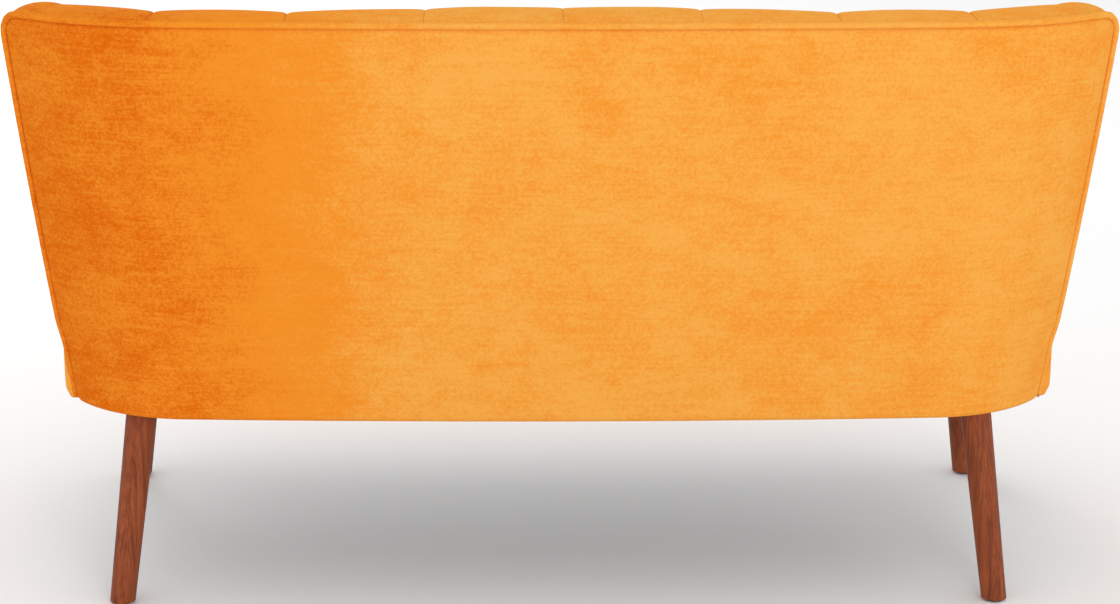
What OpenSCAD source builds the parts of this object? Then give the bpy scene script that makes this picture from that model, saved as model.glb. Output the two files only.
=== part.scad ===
// Two-seat velvet cocktail sofa with a channelled shell back and four splayed turned legs.
// Millimetres. +Z is up, the seat faces -Y, +X is to the right of someone looking at its front.
// The origin is on the floor, under the middle of the sofa's overall box.

/* [Overall] */
// Width over the piping at the top corners of the back
overall_w = 1355; // [1250:5:1560]
// Depth from the front of the seat to the piping on the back
overall_d = 712; // [660:2:800]
// Height to the crown of the back channels
overall_h = 780; // [720:2:880]
// Height of the underside of the seat box above the floor
base_z = 252; // [200:1:300]

/* [Back] */
// How much narrower the shell is at its underside than at its top
base_narrower = 106; // [60:1:160]
// How far the side edges tuck in behind the seat box, below its top
edge_tuck = 3.5; // [0:0.5:6]
// How far the back leans from the underside to the top piping
back_lean = 92; // [60:1:130]
// How far in from each side of the overall width the back starts to curve forward
wing_run = 207.5; // [180:0.5:240]
// Angle that the plan curve has turned to at the top of the side edges
end_angle_top = 44; // [36:1:52]
// Angle that the plan curve has turned to at the underside of the side edges
end_angle_base = 60; // [50:1:66]
// Rounding of the two top corners of the outside back
corner_r = 26; // [15:1:45]
// Thickness of the back from its outside to the channels' crowns, at the top
back_t_top = 102; // [92:1:130]
// The same thickness at the seat
back_t_seat = 128; // [115:1:150]
// How far each channel's crown stands in front of its seams
channel_bulge = 24; // [12:1:32]
// How far the middle channels stand above the top piping
crown_rise = 14; // [10:1:22]
// How much lower the outer channels and the wings' rolls stand
crown_fall = 5; // [0:0.5:8]
// Width of each wing's padded front roll, from its seam to the side edge
wing_roll_w = 36; // [30:1:60]
// How far the padded front edge of each wing stands past the piping
nose = 22; // [12:1:30]
// Diameter of the covered piping cord
piping_d = 8; // [6:0.5:10]

/* [Seat] */
// Height of the seat box
box_h = 95; // [80:1:130]
// Height of the seat pad above the box, at its edge
pad_h = 98; // [70:1:130]
// How much higher the middle of the seat pad is than its edge
pad_crown = 16; // [6:1:26]
// How much narrower the seat box is at its front corners than the overall width
seat_narrower = 65; // [40:1:120]
// Radius of the front corners of the seat box
front_r = 75; // [50:1:110]
// Angle by which each side of the seat box opens towards the front
flare = 2; // [0:0.1:4]
// How far the seat pad overhangs the box
pad_overhang = 5; // [3:0.5:9]

/* [Legs] */
// Leg diameter at the seat box
leg_top_d = 39; // [32:0.5:50]
// Leg diameter at the floor
leg_foot_d = 32; // [24:0.5:36]
// Sideways and fore-and-aft splay of each leg
leg_splay = 6.8; // [0:0.1:10]
// Distance of the front legs' tops from the front of the seat box
front_leg_in = 98; // [80:1:140]
// Distance of the rear legs' tops from the rear of the underside
rear_leg_in = 60; // [52:1:90]
// Distance of each front leg's top in from the side of the overall width
front_leg_side_in = 110; // [95:0.5:150]
// Distance of each rear leg's top in from the side of the overall width
rear_leg_side_in = 148.5; // [125:0.5:190]
// Height of the nail-on glides
glide_h = 3; // [2:0.5:6]
// Diameter of the nail-on glides
glide_d = 24; // [16:0.5:28]

/* [Frame] */
// Thickness of the seat box rails
rail_t = 28; // [18:1:34]
// Depth of the back posts, front to back
post_t = 38; // [28:1:44]
// Width of the back posts
post_w = 45; // [35:1:60]
// Height of the hardwood blocks that take the legs
block_h = 42; // [34:1:60]
// Diameter of the leg bolts
bolt_d = 8; // [6:1:10]
// Number of serpentine springs
spring_count = 8; // [6:1:9]
// Wire diameter of the springs
wire_d = 3.8; // [3:0.1:4.5]
// Half loops in each spring
spring_loops = 18; // [14:2:22]

/* [Hidden] */
CHANNEL_NODES = ["back_channel_1", "back_channel_2", "back_channel_3", "back_channel_4",
    "back_channel_5", "back_channel_6", "back_channel_7", "back_channel_8"];

VELVET = [0.95, 0.58, 0.16];
WALNUT = [0.42, 0.20, 0.13];
BEECH = [0.80, 0.63, 0.44];
PLY = [0.84, 0.70, 0.50];
STEEL = [0.62, 0.63, 0.65];
FOAM = [0.93, 0.90, 0.78];
FELT = [0.52, 0.50, 0.47];
BLACK = [0.07, 0.07, 0.08];

// Layers of the back, as depths in from its outside
cover_t = 2.5;                      // velvet with its lining
board_t = 3;                        // hardboard skin
skin_gap = 0.5;                     // clearance between neighbouring layers
frame_in = cover_t + board_t + 2 * skin_gap;
frame_out = frame_in + post_t;
webbing_t = 2;
foam_in = frame_out + webbing_t + 2 * skin_gap;
back_foam_t = 18;
channel_in = foam_in + back_foam_t + 2 * skin_gap;
panel_stand = 4.5;                  // how far the wing panels stand in front of the back foam
wing_t = foam_in + back_foam_t + panel_stand;

// The back's outer surface. v runs from 0 at the underside to 1 at the top piping;
// u runs from -1 at the right side edge (seen from behind) to 1 at the left one.
shell_base_w = overall_w - base_narrower;
seat_w = overall_w - seat_narrower;
back_flat = overall_w / 2 - wing_run;   // length of the nearly flat middle, on each side of the centre
piping_r = piping_d / 2;
piping_out = 0.5;                   // how far the piping's centre stands outside the surface
piping_z = overall_h - crown_rise;
rear_y = overall_d / 2 - piping_r - piping_out;
shell_h = piping_z - base_z;
middle_r = 9200;                    // radius of the nearly flat middle
side_swell = 3;                     // how far the side edges bow out at half height
middle_angle = back_flat / middle_r * 180 / PI;
middle_x = middle_r * sin(middle_angle);
middle_bow = middle_r * (1 - cos(middle_angle));

function mix(a, b, t) = a + (b - a) * t;
function v_at(z) = (z - base_z) / shell_h;
function z_at(v) = base_z + v * shell_h;
corner_v = 1 - corner_r / shell_h;   // where the top corners start to round
tuck_run = [box_h - 22, box_h + 14]; // heights above the underside between which the tuck fades out
function fade(t) = t <= 0 ? 0 : t >= 1 ? 1 : t * t * (3 - 2 * t);
function clip01(t) = max(0, min(1, t));
function end_x(v) = mix(shell_base_w, overall_w, min(1, v / corner_v)) / 2 - piping_r - piping_out
    + side_swell * 4 * clip01(v / corner_v) * (1 - clip01(v / corner_v))
    - edge_tuck * (1 - fade((v * shell_h - tuck_run[0]) / (tuck_run[1] - tuck_run[0])));
function end_angle(v) = mix(end_angle_base, end_angle_top, v);
function corner_radius(v) = (end_x(v) - middle_x) / (sin(end_angle(v)) - sin(middle_angle));
function half_length(v) = back_flat + corner_radius(v) * (end_angle(v) - middle_angle) * PI / 180;
function plan_angle(s, v) = s <= back_flat ? s / middle_r * 180 / PI
    : middle_angle + (s - back_flat) / corner_radius(v) * 180 / PI;
function plan_x(s, v) = s <= back_flat ? middle_r * sin(plan_angle(s, v))
    : middle_x + corner_radius(v) * (sin(plan_angle(s, v)) - sin(middle_angle));
function plan_in(s, v) = s <= back_flat ? middle_r * (1 - cos(plan_angle(s, v)))
    : middle_bow + corner_radius(v) * (cos(middle_angle) - cos(plan_angle(s, v)));
function rear_at(v) = rear_y - (1 - v) * back_lean;

// A point a distance s along the plan curve from the centre, at height v, a depth t inside the surface
function at_s(s, v, t) = let(k = s < 0 ? -1 : 1, a = plan_angle(abs(s), v))
    [k * (plan_x(abs(s), v) - t * sin(a)), rear_at(v) - plan_in(abs(s), v) - t * cos(a), z_at(v)];
function at_u(u, v, t) = at_s(u * half_length(v), v, t);

// The outside back's top edge drops round each corner; m is how far inside the edge a line runs
function corner_drop(u, m = 0) = let(past = abs(u) * half_length(1) - (half_length(1) - corner_r), r = corner_r - m)
    past <= 0 ? m : m + r - sqrt(max(0, r * r - past * past));
function top_v(u, m = 0) = 1 - corner_drop(u, m) / shell_h;

function steps(a, b, n) = [for (i = [0:n]) mix(a, b, i / n)];

// Thickness of the back at height v, to the channels' crowns
function back_t(v) = mix(back_t_seat, back_t_top, clip01((v - v_at(seat_z)) / (1 - v_at(seat_z))));

// Seat box and seat pad
box_top = base_z + box_h;
seat_z = box_top + pad_h;
frame_z = base_z + 1;               // undersides of the timbers, above the dust cover
rail_h = box_h - 11;
rail_top = frame_z + rail_h;
border_t = 3;
border_gap = 5;                     // wadding between the border and the rails
border_tuck = 4;                    // how far the border's lower edge turns in
seat_cord_r = piping_r - 0.5;       // the seat's piping is a little thinner
upper_cord_out = pad_overhang - 1;  // the upper piping's centre stands this far outside the box
box_front = -overall_d / 2 + upper_cord_out + seat_cord_r;
corner_x = seat_w / 2 - front_r;
corner_y = box_front + front_r;
side_rear_y = at_u(1, 0, 0)[1] - 4; // where the box sides meet the shell's side piping, at the underside
// The border's rear edge passes outside the side piping low down and stops in front of it higher up
function border_rear_y(z) = at_u(1, v_at(z), 0)[1] - mix(1, piping_r + 1, fade((z - base_z - box_h / 5) / (box_h / 3)));
rail_in = border_t + border_gap;

// The box's plan outline, grown outwards by g: its right side from the rear, round to the front's middle
function side_point(y, g) = let(t = [corner_x + (front_r + g) * cos(flare), corner_y + (front_r + g) * sin(flare)])
    [t[0] - (y - t[1]) * tan(flare), y];
function corner_arc(g, n) = [for (i = [0:n]) let(a = flare - (90 + flare) * i / n)
    [corner_x + (front_r + g) * cos(a), corner_y + (front_r + g) * sin(a)]];
function mirrored(points) = [for (i = [len(points) - 1:-1:0]) [-points[i][0], points[i][1]]];

// ---- shapes ----

function quad(a, b, c, d) = [[a, b, c], [a, c, d]];
function flatten(l) = [for (a = l) for (b = a) b];

// A solid between two grids of points of the same size
module slab(outer, inner) {
    n = len(outer);
    m = len(outer[0]);
    o = n * m;
    function at(i, j) = i * m + j;
    faces = concat(
        flatten([for (i = [0:n - 2]) for (j = [0:m - 2])
            concat(quad(at(i, j), at(i + 1, j), at(i + 1, j + 1), at(i, j + 1)),
                quad(o + at(i, j), o + at(i, j + 1), o + at(i + 1, j + 1), o + at(i + 1, j)))]),
        flatten([for (j = [0:m - 2])
            concat(quad(at(0, j), at(0, j + 1), o + at(0, j + 1), o + at(0, j)),
                quad(at(n - 1, j), o + at(n - 1, j), o + at(n - 1, j + 1), at(n - 1, j + 1)))]),
        flatten([for (i = [0:n - 2])
            concat(quad(at(i, 0), o + at(i, 0), o + at(i + 1, 0), at(i + 1, 0)),
                quad(at(i, m - 1), at(i + 1, m - 1), o + at(i + 1, m - 1), o + at(i, m - 1)))]));
    polyhedron(points = concat(flatten(outer), flatten(inner)), faces = faces);
}

// A solid through a stack of closed rings, with a fan of triangles over each end
module stack(rings) {
    n = len(rings);
    m = len(rings[0]);
    function middle(r) = [for (k = [0:2]) (max([for (p = r) p[k]]) + min([for (p = r) p[k]])) / 2];
    function at(i, j) = i * m + j % m;
    faces = concat(
        flatten([for (i = [0:n - 2]) for (j = [0:m - 1])
            quad(at(i, j), at(i + 1, j), at(i + 1, j + 1), at(i, j + 1))]),
        [for (j = [0:m - 1]) [n * m, at(0, j), at(0, j + 1)]],
        [for (j = [0:m - 1]) [n * m + 1, at(n - 1, j + 1), at(n - 1, j)]]);
    polyhedron(points = concat(flatten(rings), [middle(rings[0]), middle(rings[n - 1])]), faces = faces);
}

function unit(v) = v / norm(v);
function tangent(path, i) = unit(path[min(i + 1, len(path) - 1)] - path[max(i - 1, 0)]);

// A round cord along a path, its rings kept square to the path; up is any direction never along it
module cord(path, r, up = [0.31, 0.11, 0.94], sides = 8) {
    rings = [for (i = [0:len(path) - 1])
        let(t = tangent(path, i), a = unit(cross(up, t)), b = cross(t, a))
        [for (k = [0:sides - 1]) path[i] + r * (cos(360 * k / sides) * a + sin(360 * k / sides) * b)]];
    stack([for (i = [len(rings) - 1:-1:0]) rings[i]]);
}

// A block that follows the back's curve
module shell_block(u0, u1, v0, v1, t0, t1, nu = 24, nv = 2) {
    slab([for (u = steps(u0, u1, nu)) [for (v = steps(v0, v1, nv)) at_u(u, v, t0)]],
        [for (u = steps(u0, u1, nu)) [for (v = steps(v0, v1, nv)) at_u(u, v, t1)]]);
}

module mirror_x(right) {
    if (right) children();
    else mirror([1, 0, 0]) children();
}

module bar(size, centre_x = true) {
    translate([centre_x ? -size[0] / 2 : 0, 0, 0]) cube(size);
}

// ---- legs ----

rear_leg_y = rear_at(0) - rear_leg_in;
front_leg_y = box_front + front_leg_in;
splay_run = tan(leg_splay);

function leg_x(front) = overall_w / 2 - (front ? front_leg_side_in : rear_leg_side_in);
function leg_y(front) = front ? front_leg_y : rear_leg_y;

// Puts its children on a right-hand leg's axis, with the origin at the leg's top and +Z up the axis
module on_leg_axis(front) {
    k = front ? -1 : 1;
    translate([leg_x(front), leg_y(front), base_z])
        multmatrix([[1, 0, -splay_run, 0], [0, 1, -k * splay_run, 0], [0, 0, 1, 0], [0, 0, 0, 1]]) children();
}

// The same axis with true right angles
module square_to_leg(front) {
    k = front ? -1 : 1;
    tilt = atan(sqrt(2) * splay_run);
    turn = k * 45;
    translate([leg_x(front), leg_y(front), base_z]) rotate([0, 0, turn]) rotate([0, -tilt, 0]) children();
}

bolt_in_leg = 32;
bolt_in_block = 38;
nail_d = 2.2;
nail_l = 14;

function foot_x(front) = leg_x(front) + base_z * splay_run;
function foot_y(front) = leg_y(front) + (front ? -1 : 1) * base_z * splay_run;

module leg(front, right) {
    reach = base_z * sqrt(1 + 2 * splay_run * splay_run);
    color(WALNUT) mirror_x(right) difference() {
        intersection() {
            square_to_leg(front) translate([0, 0, -reach - 10])
                cylinder(r1 = leg_foot_d / 2 - 0.15, r2 = leg_top_d / 2 + 0.15, h = reach + 20, $fn = 96);
            translate([leg_x(front) - 100, leg_y(front) - 100, glide_h]) cube([200, 200, base_z - glide_h]);
        }
        square_to_leg(front) translate([0, 0, -bolt_in_leg]) cylinder(d = bolt_d, h = bolt_in_leg + 20, $fn = 48);
        translate([foot_x(front), foot_y(front), glide_h]) cylinder(d = nail_d, h = nail_l, $fn = 24);
    }
}

module leg_bolts() {
    color(STEEL) for (front = [true, false]) for (right = [true, false]) mirror_x(right)
        square_to_leg(front) translate([0, 0, -bolt_in_leg])
            cylinder(d = bolt_d, h = bolt_in_leg + bolt_in_block, $fn = 48);
}

nut_wall = 1.6;
nut_l = 14;
nut_flange_t = 1.5;
nut_flange_d = 24;
nut_seat = block_h - 10;            // height of the nut's flange up the leg's axis

module tee_nuts() {
    color(STEEL) for (front = [true, false]) for (right = [true, false]) mirror_x(right)
        square_to_leg(front) difference() {
            union() {
                translate([0, 0, nut_seat - nut_l]) cylinder(d = bolt_d + 2 * nut_wall, h = nut_l + 0.5, $fn = 48);
                translate([0, 0, nut_seat]) cylinder(d = nut_flange_d, h = nut_flange_t, $fn = 48);
            }
            translate([0, 0, nut_seat - nut_l - 1]) cylinder(d = bolt_d, h = nut_l + 10, $fn = 48);
        }
}

// The angled way through a leg block, for the bolt, the tee nut's barrel and its flange
module nut_way(front) {
    square_to_leg(front) {
        translate([0, 0, -10]) cylinder(d = bolt_d + 2 * nut_wall, h = block_h + 40, $fn = 48);
        translate([0, 0, nut_seat]) cylinder(d = nut_flange_d, h = block_h, $fn = 48);
    }
}

module leg_glides() {
    color(BLACK) for (front = [true, false]) for (right = [true, false]) mirror_x(right)
        translate([foot_x(front), foot_y(front), 0]) {
            cylinder(d1 = glide_d - 2, d2 = glide_d, h = 1, $fn = 64);
            translate([0, 0, 1]) cylinder(d = glide_d, h = glide_h - 1, $fn = 64);
            translate([0, 0, glide_h - 0.5]) cylinder(d = nail_d, h = nail_l, $fn = 24);
        }
}

// ---- seat frame ----

post_x = [back_flat * 0.32, back_flat - post_w / 2 - 8];
post_angle = atan(back_lean / shell_h);
rear_rail_back = rear_at(0) - middle_bow - frame_out / cos(post_angle) - 1;
block_rear_x = post_x[1] + post_w / 2 + 12;
block_front_y = side_rear_y - 12;
front_block = 92;

screw_d = 5;
screw_l = 60;
screw_head_d = 10;
screw_head_h = 3;
screw_z = [frame_z + 12, frame_z + block_h - 10];

// A screw along -Y from its head at the origin
module screw() {
    rotate([90, 0, 0]) cylinder(d = screw_d, h = screw_l, $fn = 32);
    rotate([90, 0, 0]) cylinder(d1 = screw_head_d, d2 = screw_d, h = screw_head_h, $fn = 32);
}

// Screws through the leg blocks: forward into the front rail, and forward into the side rails' rear ends
module right_screws() {
    for (z = screw_z) {
        translate([corner_x - 30, box_front + rail_in + rail_t + 38, z]) screw();
        translate([side_rail_x(side_rear_y) - rail_t + 9, block_front_y + 20, z]) screw();
    }
}

function side_rail_x(y) = side_point(y, -rail_in)[0];

module all_screw_holes() {
    for (right = [true, false]) mirror_x(right) right_screws();
}

module frame_screws() {
    color(STEEL) all_screw_holes();
}

module seat_front_rail() {
    color(BEECH) difference() {
        translate([0, box_front + rail_in, frame_z]) bar([2 * corner_x, rail_t, rail_h]);
        all_screw_holes();
    }
}

module seat_rear_rail() {
    color(BEECH) difference() {
        translate([0, rear_rail_back - rail_t, frame_z]) bar([2 * block_rear_x - 2, rail_t, rail_h]);
        back_bolt_ways(bolt_d + 0.5);
    }
}

module seat_side_rail(right) {
    front_end = side_point(corner_y + (front_r - rail_in) * sin(flare), -rail_in);
    rear_end = side_point(block_front_y - 0.5, -rail_in);
    run = [-cos(flare) * rail_t, -sin(flare) * rail_t];
    color(BEECH) mirror_x(right) difference() {
        translate([0, 0, frame_z]) linear_extrude(rail_h)
            polygon([front_end, rear_end, [rear_end[0] - rail_t / cos(flare), rear_end[1]], front_end + run]);
        all_screw_holes();
    }
}

module front_corner_formers() {
    color(PLY) for (right = [true, false]) mirror_x(right)
        translate([corner_x, corner_y, frame_z]) rotate([0, 0, -90])
            rotate_extrude(angle = 90 + flare, $fn = 96)
                translate([front_r - rail_in - rail_t, 0]) square([rail_t, rail_h]);
}

brace_w = 60;
brace_h = 40;

module seat_centre_brace() {
    front = box_front + rail_in + rail_t;
    color(BEECH) translate([0, front, frame_z]) bar([brace_w, rear_rail_back - rail_t - front, brace_h]);
}

// Plan of a rear corner, inside the shell: the shell's curve and a straight inner edge
module rear_corner_plan(v, inset) {
    s0 = block_rear_x;
    s1 = half_length(v) - 16;
    curve = [for (s = steps(s0 + 6, s1, 12)) let(p = at_s(s, v, frame_in + inset)) [p[0], p[1]]];
    polygon(concat([[s0, block_front_y], [s0, curve[0][1]]], curve,
        [[side_rail_x(side_rear_y) - 2, block_front_y]]));
}

module leg_block_rear(right) {
    color(BEECH) mirror_x(right) difference() {
        translate([0, 0, frame_z]) linear_extrude(block_h) rear_corner_plan(0, 1);
        nut_way(false);
        all_screw_holes();
    }
}

former_t = 18;

module rear_corner_formers() {
    color(PLY) for (right = [true, false]) mirror_x(right)
        translate([0, 0, rail_top - former_t]) linear_extrude(former_t)
            rear_corner_plan(v_at(rail_top - former_t), 1);
}

module leg_block_front(right) {
    y0 = box_front + rail_in + rail_t;
    color(BEECH) mirror_x(right) difference() {
        translate([side_rail_x(y0 + front_block) - rail_t - front_block - 4, y0, frame_z])
            cube([front_block, front_block + 26, block_h]);
        translate([corner_x, corner_y, frame_z - 1]) rotate([0, 0, -90])
            rotate_extrude(angle = 90 + flare, $fn = 96)
                translate([front_r - rail_in - rail_t - 0.2, 0]) square([rail_t + 40, block_h + 2]);
        nut_way(true);
        all_screw_holes();
    }
}

// ---- back frame ----

top_rail_v0 = 1 - 84 / shell_h;
top_rail_v1 = 1 - 36 / shell_h;
channel_span = half_length(1) - wing_roll_w;  // from the centre to the seam beside the wing's front roll
seam_gap = 0.6;
crown_dip = 2.5;                    // how much lower a channel's crown is at its seams
wing_u0 = (channel_span + 1.5) / half_length(1);
wing_u1 = 1 - 10 / half_length(1);
lumbar_v0 = v_at(box_top + 24);
lumbar_v1 = lumbar_v0 + 48 / shell_h;
lumbar_t = 22;
lumbar_clear = 3.5;                 // between the lumbar rails' ends and the posts

module back_post(i) {
    x = post_x[i < 2 ? 1 - i : i - 2] * (i < 2 ? -1 : 1);
    bow = plan_in(abs(x), 0);
    turn = -sign(x) * plan_angle(abs(x), 0);
    top = z_at(top_rail_v0) - 1;
    color(BEECH) difference() {
        intersection() {
            translate([x, rear_at(0) - bow - frame_in, base_z]) rotate([0, 0, turn]) rotate([-post_angle, 0, 0])
                translate([-post_w / 2, -post_t * cos(post_angle), -50])
                    cube([post_w, post_t * cos(post_angle), shell_h + 100]);
            translate([x - 100, 0, frame_z]) cube([200, overall_d, top - frame_z]);
        }
        back_bolt_ways(bolt_d);
    }
}

bolt_z = frame_z + rail_h / 2;
bolt_l = 62;
washer_t = 2;

// Ways for the coach bolts that hold the posts to the rear rail
module back_bolt_ways(d) {
    for (x = post_x) for (k = [-1, 1])
        translate([k * x, rear_rail_back - rail_t - 1, bolt_z]) rotate([-90, 0, 0])
            cylinder(d = d, h = bolt_l + 1, $fn = 48);
}

module back_bolts() {
    color(STEEL) for (x = post_x) for (k = [-1, 1])
        translate([k * x, rear_rail_back - rail_t, bolt_z]) {
            rotate([-90, 0, 0]) cylinder(d = bolt_d, h = bolt_l, $fn = 48);
            translate([0, -washer_t, 0]) rotate([90, 0, 0]) cylinder(d = 13 / cos(30), h = 5.5, $fn = 6);
            rotate([90, 0, 0]) cylinder(d = bolt_d, h = washer_t + 1, $fn = 48);
        }
}

module back_bolt_washers() {
    color(STEEL) for (x = post_x) for (k = [-1, 1])
        translate([k * x, rear_rail_back - rail_t, bolt_z]) rotate([90, 0, 0]) difference() {
            cylinder(d = 24, h = washer_t, $fn = 48);
            translate([0, 0, -1]) cylinder(d = bolt_d, h = washer_t + 2, $fn = 48);
        }
}

module wing_panel(right) {
    v0 = v_at(rail_top) + 0.002;
    color(PLY) mirror_x(right)
        shell_block(wing_u0, wing_u1, v0, top_rail_v0 - 0.003, frame_in + skin_gap, wing_t, 3, 8);
}

module back_top_rail() {
    color(PLY) shell_block(-wing_u1, wing_u1, top_rail_v0, top_rail_v1, frame_in + skin_gap, frame_out, 56, 2);
}

// Short rails between the posts, and from the outer posts to the wing panels
module back_lumbar_rails() {
    edge = [for (x = post_x) post_w / 2 + lumbar_clear];
    spans = [[-post_x[0] + edge[0], post_x[0] - edge[0]],
        [post_x[0] + edge[0], post_x[1] - edge[1]],
        [post_x[1] + edge[1], half_length(lumbar_v0) * wing_u0 - 2]];
    color(PLY) {
        lumbar_span(spans[0][0], spans[0][1]);
        for (k = [1, 2]) for (right = [true, false]) mirror_x(right) lumbar_span(spans[k][0], spans[k][1]);
    }
}

module lumbar_span(s0, s1) {
    slab([for (s = steps(s0, s1, 10)) [for (v = [lumbar_v0, lumbar_v1]) at_s(s, v, frame_in + skin_gap)]],
        [for (s = steps(s0, s1, 10)) [for (v = [lumbar_v0, lumbar_v1]) at_s(s, v, frame_in + lumbar_t)]]);
}

// A thin skin over the outside of the back, between two depths, short of its side and top edges by a margin
module skin(t0, t1, margin, low, nv) {
    bend = back_flat / half_length(1) - 0.015;   // the share of the width after which the back curves
    right = [for (k = concat(steps(0, 0.84, 11), [0.9, 0.95, 0.98, 1])) mix(bend, 1 - margin / half_length(0), k)];
    left = [for (i = [len(right) - 1:-1:0]) -right[i]];
    us = concat(left, steps(-bend, bend, 10), right);
    distinct = [for (i = [0:len(us) - 1]) if (i == 0 || us[i] - us[i - 1] > 0.001) us[i]];
    function grid(t) = [for (u = distinct) [for (k = steps(0, 1, nv))
        at_u(u, mix(low / shell_h, top_v(u, margin), k), t)]];
    slab(grid(t0), grid(t1));
}

module back_board() {
    color(PLY) skin(cover_t + skin_gap, cover_t + skin_gap + board_t, piping_r + 2, 4, 9);
}

module outside_back_cover() {
    color(VELVET) skin(0, cover_t, piping_r + 1, 0, 9);
}

strap_w = 50;
strap_count = 9;

module back_webbing() {
    reach = half_length(lumbar_v0) * wing_u0 - strap_w / 2 - 2;
    color(BLACK) for (i = [0:strap_count - 1]) {
        s = mix(-reach, reach, i / (strap_count - 1));
        slab([for (p = [s - strap_w / 2, s, s + strap_w / 2]) [for (v = steps(lumbar_v0, top_rail_v1, 4))
                at_s(p, v, frame_out + skin_gap)]],
            [for (p = [s - strap_w / 2, s, s + strap_w / 2]) [for (v = steps(lumbar_v0, top_rail_v1, 4))
                at_s(p, v, frame_out + skin_gap + webbing_t)]]);
    }
}

// ---- springs ----

spring_z = rail_top + wire_d / 2 + 0.2;
spring_run = 10;                     // half the length of each straight run
spring_front = box_front + rail_in + rail_t / 2;
spring_step = 0.5;                  // the runs are a whole number of these apart
spring_pitch = spring_step * round((rear_rail_back - rail_t / 2 - spring_front) / spring_loops / spring_step);
spring_rear = spring_front + spring_loops * spring_pitch;
spring_w = 2 * spring_run + spring_pitch;
spring_reach = corner_x - 70;

function spring_x(i) = mix(-spring_reach, spring_reach, i / (spring_count - 1));

// One serpentine spring: straight runs across it, joined by half turns alternately at its two sides
module spring() {
    run = spring_run;
    translate([0, spring_front, 0]) for (i = [0:spring_loops]) translate([0, i * spring_pitch, 0]) {
        translate([-run, 0, 0]) rotate([0, 90, 0]) cylinder(d = wire_d, h = 2 * run, $fn = 24);
        if (i < spring_loops) translate([i % 2 == 0 ? run : -run, spring_pitch / 2, 0])
            rotate([0, 0, i % 2 == 0 ? -90 : 90]) rotate_extrude(angle = 180, $fn = 32)
                translate([spring_pitch / 2, 0]) circle(d = wire_d, $fn = 24);
    }
}

module seat_springs() {
    color(STEEL) for (i = [0:spring_count - 1]) translate([spring_x(i), 0, spring_z]) spring();
}

clip = [22, 12, wire_d + 3];

module spring_clips() {
    color(STEEL) for (i = [0:spring_count - 1]) for (y = [spring_front, spring_rear])
        translate([spring_x(i), y, rail_top]) difference() {
            translate([-clip[0] / 2, -clip[1] / 2, 0]) cube(clip);
            translate([-clip[0], 0, spring_z - rail_top]) rotate([0, 90, 0])
                cylinder(d = wire_d + 0.1, h = 2 * clip[0], $fn = 24);
        }
}

tie_d = 2.4;

module spring_tie_wires() {
    color(STEEL) for (k = [1 / 3, 2 / 3])
        translate([-spring_reach - spring_w / 2, mix(spring_front, spring_rear, k), spring_z - (wire_d + tie_d) / 2 - 0.1])
            rotate([0, 90, 0]) cylinder(d = tie_d, h = 2 * spring_reach + spring_w, $fn = 24);
}

felt_t = 3;

// The felt is cut square round the wing panels, which stand beside the springs' rear ends
module spring_felt() {
    rear = rear_rail_back - 4;
    panel_y = at_u(wing_u1, v_at(box_top), wing_t)[1] - 6;
    notch_x = spring_reach + spring_w / 2 + 6;
    half = concat([[notch_x, rear], [notch_x, panel_y], side_point(panel_y, -rail_in - 2)],
        corner_arc(-rail_in - 2, 10));
    color(FELT) translate([0, 0, box_top - felt_t - 0.2]) linear_extrude(felt_t)
        polygon(concat(half, mirrored(half)));
}

// ---- upholstery ----

function seam_u(k) = k / 4 * channel_span / half_length(1);
// How far the crown stands above the top piping, at a share u of the half width
function crown_at(u) = crown_rise - crown_fall * fade((abs(u) - seam_u(1) / 2) / 0.35);
function swell(w) = pow(max(0, 1 - pow(abs(2 * w - 1), 2.4)), 0.6);

// The front of a channel at a share w across it: up from the seat, over the crown and down to the rear piping
function channel_front(u, w) = let(
        b = swell(w),
        low = v_at(box_top + 3),
        rise = crown_at(u) - mix(crown_dip, 0, b),
        crown_t = 0.52 * back_t_top,
        face = [for (v = steps(low, 0.9, 6)) at_u(u, v, back_t(v) - channel_bulge * (1 - b))],
        front_t = back_t(0.9) - channel_bulge * (1 - b),
        over = [for (a = [15:15:165])
            let(half = a < 90 ? front_t - crown_t : crown_t - piping_r - 2,
                z = a < 90 ? mix(z_at(0.9), piping_z + rise, sin(a)) : mix(piping_z + 1, piping_z + rise, sin(a)))
            at_u(u, v_at(z), crown_t + half * cos(a))])
    concat(face, over, [at_u(u, v_at(piping_z + 1), piping_r + 2)]);

// The back of a channel, with as many points: up the foam, then over the top rail
function channel_back(u) = let(
        low = v_at(box_top + 3),
        over_rail = top_rail_v1 + 1 / shell_h,
        up = steps(low, over_rail - 0.001, 9),
        top = steps(0, 1, 8))
    concat([for (v = up) at_u(u, v, channel_in)],
        [for (k = top) at_u(u, over_rail, mix(channel_in - 1, frame_in + skin_gap, k))]);

module channel(k, right) {
    u0 = seam_u(k) + seam_gap / half_length(1);
    u1 = seam_u(k + 1) - seam_gap / half_length(1);
    ws = [for (a = [0:15:180]) (1 - cos(a)) / 2];
    color(VELVET) mirror_x(right)
        slab([for (w = ws) channel_back(mix(u0, u1, w))], [for (w = ws) channel_front(mix(u0, u1, w), w)]);
}

// Plan of a wing's padded front roll at height v: from its seam round the nose to the side piping
roll_end = 6;                       // where the nose's curve starts, back from the side edge
function roll_t(v) = back_t(v) - 8;
function nose_point(a, v, c) = let(t_mid = (roll_t(v) + frame_in + 1) / 2)
    at_s(half_length(v) - roll_end + (nose + roll_end + c) * cos(a), v, t_mid + (roll_t(v) - t_mid + c) * sin(a));
function roll_outer(v) = let(s_seam = seam_u(4) * half_length(v) + seam_gap)
    concat(
        [for (w = steps(0, 1, 5)) at_s(mix(s_seam, half_length(v) - roll_end, w), v,
            mix(back_t(v), roll_t(v), w) - channel_bulge * (1 - swell(w * 0.5)))],
        [for (a = [80:-20:-80]) nose_point(a, v, 0)]);
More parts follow.
